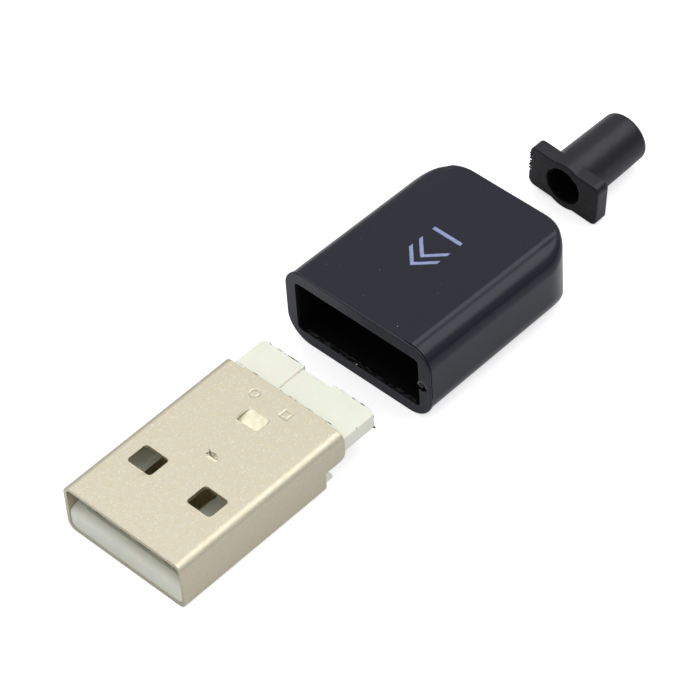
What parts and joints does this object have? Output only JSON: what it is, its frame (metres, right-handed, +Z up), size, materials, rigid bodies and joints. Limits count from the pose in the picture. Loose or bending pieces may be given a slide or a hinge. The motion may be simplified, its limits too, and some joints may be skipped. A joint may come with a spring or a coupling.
{
  "type": "usb-a plug",
  "caption": "Solder-on plug with a folded metal shell and flat contacts, laid out in line with its push-on cover and cable bush taken off.",
  "frame": {"origin": "centre of the row's box, on the surface that the pieces lie on", "axes": "+X along the cable from the plug's mouth to the bush's tail, +Z up, so the contacts face up"},
  "size_m": [0.0552, 0.0146, 0.0071],
  "materials": {
    "nickel_shell": "satin nickel plate with a warm grain",
    "white_insulator": "moulded, satin",
    "gilt_contact": "thin gilt plate",
    "black_cover": "moulded, satin",
    "black_bush": "moulded, soft satin"
  },
  "bodies": {
    "root": {"shell": "nickel_shell", "insulator": "white_insulator", "contact_vbus": "gilt_contact", "contact_d_minus": "gilt_contact", "contact_d_plus": "gilt_contact", "contact_ground": "gilt_contact", "cover": "black_cover", "strain_relief": "black_bush"}
  },
  "joints": []
}
